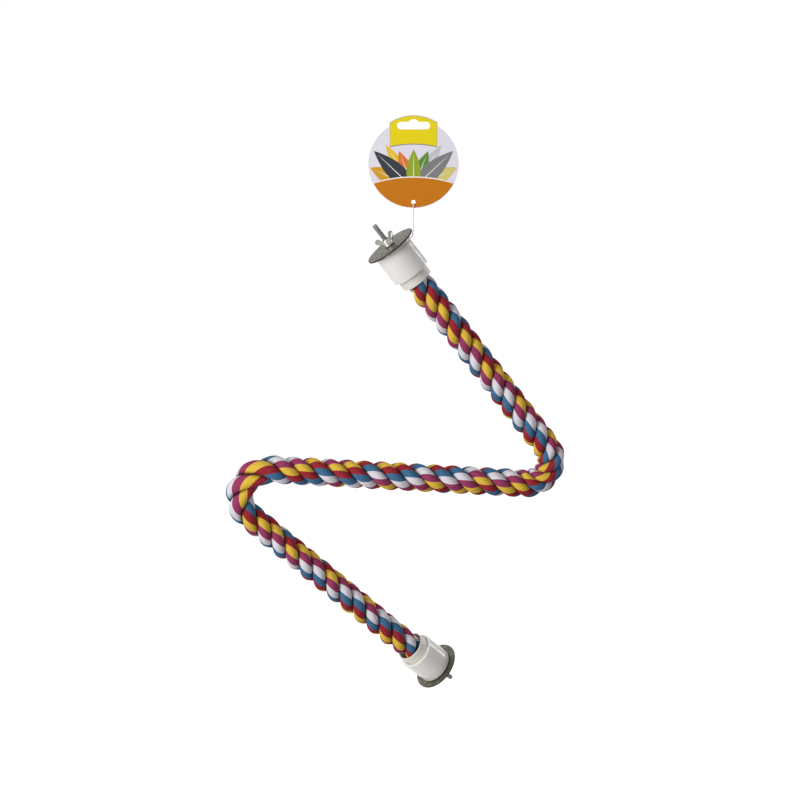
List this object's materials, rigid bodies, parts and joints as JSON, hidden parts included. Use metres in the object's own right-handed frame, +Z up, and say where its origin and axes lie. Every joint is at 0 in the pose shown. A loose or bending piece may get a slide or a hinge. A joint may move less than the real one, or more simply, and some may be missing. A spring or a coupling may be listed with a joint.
{
  "type": "flexible rope perch",
  "caption": "Flexible rope perch: a twisted cotton rope on a bendable wire core, bent in a Z, with a plastic end cap and a bolt, washer and wing nut cage clamp at each end, and a swing tag.",
  "frame": {"origin": "where a hook meets the top of the swing tag's slot, from which the perch hangs", "axes": "+Z up, +X to the right as seen from the front, +Y to the back; the bend lies in the X-Z plane apart from the lower run, which leans back"},
  "size_m": [0.3267, 0.1185, 0.6093],
  "materials": {
    "cap_plastic": "moulded, satin gloss",
    "sleeve_plastic": "cut pipe, matt",
    "bright_zinc": "bright zinc plated",
    "galvanised_steel": "dull zinc, lightly mottled",
    "cotton_rope": "twisted cotton yarns in red, yellow, berry, white and blue",
    "core_steel": "annealed wire",
    "printed_card": "printed and varnished",
    "white_thread": "twisted"
  },
  "bodies": {
    "upper_end": {"upper_cap": "cap_plastic", "upper_sleeve": "sleeve_plastic", "upper_bolt": "bright_zinc", "upper_bolt_washer": "bright_zinc", "rope_upper_neck": "cotton_rope", "core_upper_neck": "core_steel", "swing_tag": "printed_card", "tag_thread": "white_thread"},
    "upper_clamp": {"upper_clamp_washer": "galvanised_steel"},
    "upper_nut": {"upper_wing_nut": "bright_zinc"},
    "upper_run": {"rope_upper_run": "cotton_rope", "core_upper_run": "core_steel"},
    "upper_elbow_1": {"rope_upper_elbow_1": "cotton_rope", "core_upper_elbow_1": "core_steel"},
    "upper_elbow_2": {"rope_upper_elbow_2": "cotton_rope", "core_upper_elbow_2": "core_steel"},
    "upper_elbow_3": {"rope_upper_elbow_3": "cotton_rope", "core_upper_elbow_3": "core_steel"},
    "middle_run": {"rope_middle_run": "cotton_rope", "core_middle_run": "core_steel"},
    "lower_elbow_1": {"rope_lower_elbow_1": "cotton_rope", "core_lower_elbow_1": "core_steel"},
    "lower_elbow_2": {"rope_lower_elbow_2": "cotton_rope", "core_lower_elbow_2": "core_steel"},
    "lower_elbow_3": {"rope_lower_elbow_3": "cotton_rope", "core_lower_elbow_3": "core_steel"},
    "lower_run": {"rope_lower_run": "cotton_rope", "core_lower_run": "core_steel"},
    "lower_end": {"lower_cap": "cap_plastic", "lower_sleeve": "sleeve_plastic", "lower_bolt": "bright_zinc", "lower_bolt_washer": "bright_zinc", "rope_lower_neck": "cotton_rope", "core_lower_neck": "core_steel"},
    "lower_clamp": {"lower_clamp_washer": "galvanised_steel"},
    "lower_nut": {"lower_wing_nut": "bright_zinc"}
  },
  "joints": [
    {"name": "upper_neck_bend", "type": "hinge", "parent": "upper_end", "child": "upper_run", "pos_m": [0.01584, 0, -0.16822], "axis": [0.8, 0, 0.6], "range_deg": [-35, 35], "deforming": ["rope_upper_neck", "core_upper_neck"]},
    {"name": "upper_elbow_bend_1", "type": "hinge", "parent": "upper_run", "child": "upper_elbow_1", "pos_m": [0.12744, 0, -0.31702], "axis": [0.004, -1, 0.004], "range_deg": [-2.5, 20]},
    {"name": "upper_elbow_bend", "type": "hinge", "parent": "upper_elbow_1", "child": "upper_elbow_2", "pos_m": [0.13208, 0, -0.33416], "axis": [0.004, -1, 0.004], "range_deg": [-5, 40], "deforming": ["rope_upper_elbow_1", "core_upper_elbow_1", "rope_upper_elbow_2", "core_upper_elbow_2", "rope_upper_elbow_3", "core_upper_elbow_3"]},
    {"name": "upper_elbow_bend_3", "type": "hinge", "parent": "upper_elbow_2", "child": "upper_elbow_3", "pos_m": [0.12367, 0, -0.3498], "axis": [0.004, -1, 0.004], "range_deg": [-5, 40]},
    {"name": "upper_elbow_bend_4", "type": "hinge", "parent": "upper_elbow_3", "child": "middle_run", "pos_m": [0.10682, 0, -0.35538], "axis": [0.004, -1, 0.004], "range_deg": [-2.5, 20]},
    {"name": "lower_elbow_bend_1", "type": "hinge", "parent": "middle_run", "child": "lower_elbow_1", "pos_m": [-0.13176, 0, -0.3412], "axis": [0.015, 0.9675, 0.2525], "range_deg": [-2.5, 21]},
    {"name": "lower_elbow_bend", "type": "hinge", "parent": "lower_elbow_1", "child": "lower_elbow_2", "pos_m": [-0.15658, 0.00258, -0.34961], "axis": [0.015, 0.9675, 0.2525], "range_deg": [-5, 42], "deforming": ["rope_lower_elbow_1", "core_lower_elbow_1", "rope_lower_elbow_2", "core_lower_elbow_2", "rope_lower_elbow_3", "core_lower_elbow_3"]},
    {"name": "lower_elbow_bend_3", "type": "hinge", "parent": "lower_elbow_2", "child": "lower_elbow_3", "pos_m": [-0.16769, 0.00877, -0.37266], "axis": [0.015, 0.9675, 0.2525], "range_deg": [-5, 42]},
    {"name": "lower_elbow_bend_4", "type": "hinge", "parent": "lower_elbow_3", "child": "lower_run", "pos_m": [-0.15843, 0.01486, -0.39654], "axis": [0.015, 0.9675, 0.2525], "range_deg": [-2.5, 21]},
    {"name": "lower_neck_bend", "type": "hinge", "parent": "lower_run", "child": "lower_end", "pos_m": [-0.01253, 0.05215, -0.54666], "axis": [0.6844, 0.1733, 0.7082], "range_deg": [-35, 30], "deforming": ["rope_lower_neck", "core_lower_neck"]},
    {"name": "upper_washer_slide", "type": "slide", "parent": "upper_end", "child": "upper_clamp", "axis": [-0.6, 0, 0.8], "range_m": [0, 0.0096]},
    {"name": "upper_nut_turn", "type": "hinge", "parent": "upper_clamp", "child": "upper_nut", "pos_m": [-0.0207, 0, -0.1195], "axis": [-0.6, 0, 0.8], "range_deg": [0, 4320]},
    {"name": "lower_washer_slide", "type": "slide", "parent": "lower_end", "child": "lower_clamp", "axis": [0.645, 0.309, -0.6989], "range_m": [0, 0.0096]},
    {"name": "lower_nut_turn", "type": "hinge", "parent": "lower_clamp", "child": "lower_nut", "pos_m": [0.02406, 0.06926, -0.58621], "axis": [0.645, 0.309, -0.6989], "range_deg": [0, 4320]}
  ],
  "couplings": [
    {"joint": "upper_elbow_bend_1", "follows": "upper_elbow_bend", "ratio": 0.5},
    {"joint": "upper_elbow_bend_3", "follows": "upper_elbow_bend", "ratio": 1},
    {"joint": "upper_elbow_bend_4", "follows": "upper_elbow_bend", "ratio": 0.5},
    {"joint": "lower_elbow_bend_1", "follows": "lower_elbow_bend", "ratio": 0.5},
    {"joint": "lower_elbow_bend_3", "follows": "lower_elbow_bend", "ratio": 1},
    {"joint": "lower_elbow_bend_4", "follows": "lower_elbow_bend", "ratio": 0.5},
    {"joint": "upper_nut_turn", "follows": "upper_washer_slide", "rad_per_m": 7853.9},
    {"joint": "lower_nut_turn", "follows": "lower_washer_slide", "rad_per_m": 7853.9}
  ]
}
